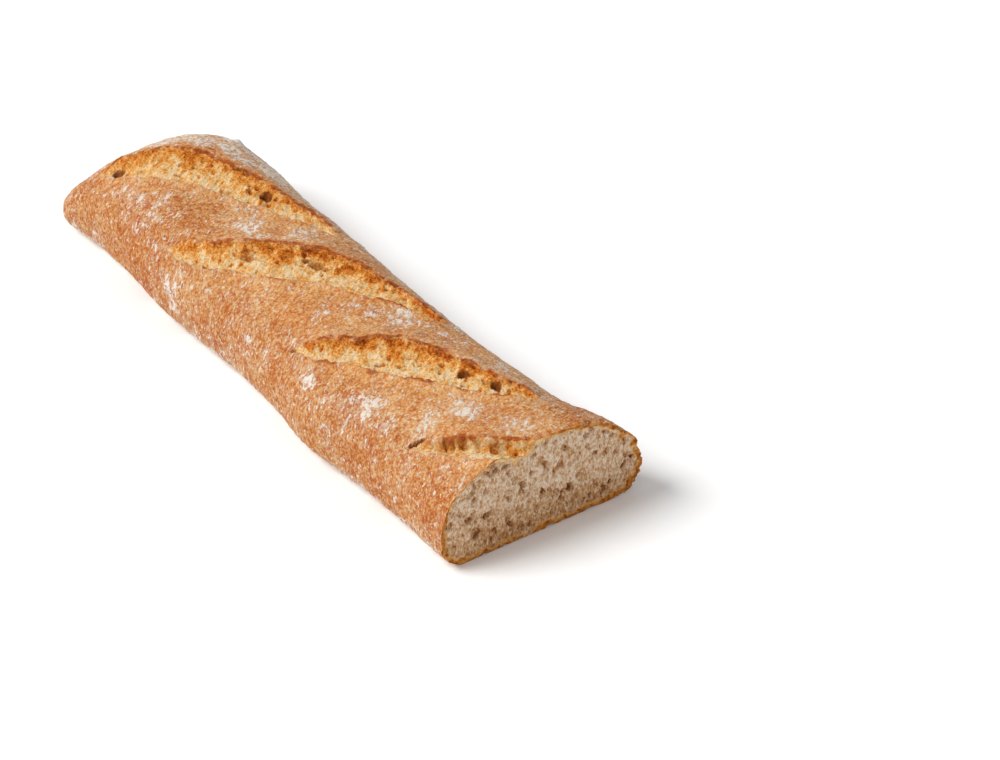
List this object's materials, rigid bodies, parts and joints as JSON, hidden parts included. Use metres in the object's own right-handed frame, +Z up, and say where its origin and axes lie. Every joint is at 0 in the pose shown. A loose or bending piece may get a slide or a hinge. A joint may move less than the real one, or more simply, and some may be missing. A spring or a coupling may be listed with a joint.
{
  "type": "ciabatta loaf",
  "caption": "Long, low, flour-dusted bread loaf with diagonal slashes across its crust, rounded at one end and cut square at the other to show its open crumb.",
  "frame": {"origin": "on the surface the loaf rests on, under the middle of the loaf's own box", "axes": "+X along the loaf towards the knife-cut end, +Y towards its back side, +Z up; the slashes run from the front side (-Y) towards the cut end and the back"},
  "size_m": [0.346, 0.1128, 0.0505],
  "materials": {
    "crust": "dry, matte, finely blistered copper-brown crust dusted with white flour; golden torn crumb in the slashes and pale open crumb at the cut"
  },
  "bodies": {
    "root": {"loaf": "crust"}
  },
  "joints": []
}
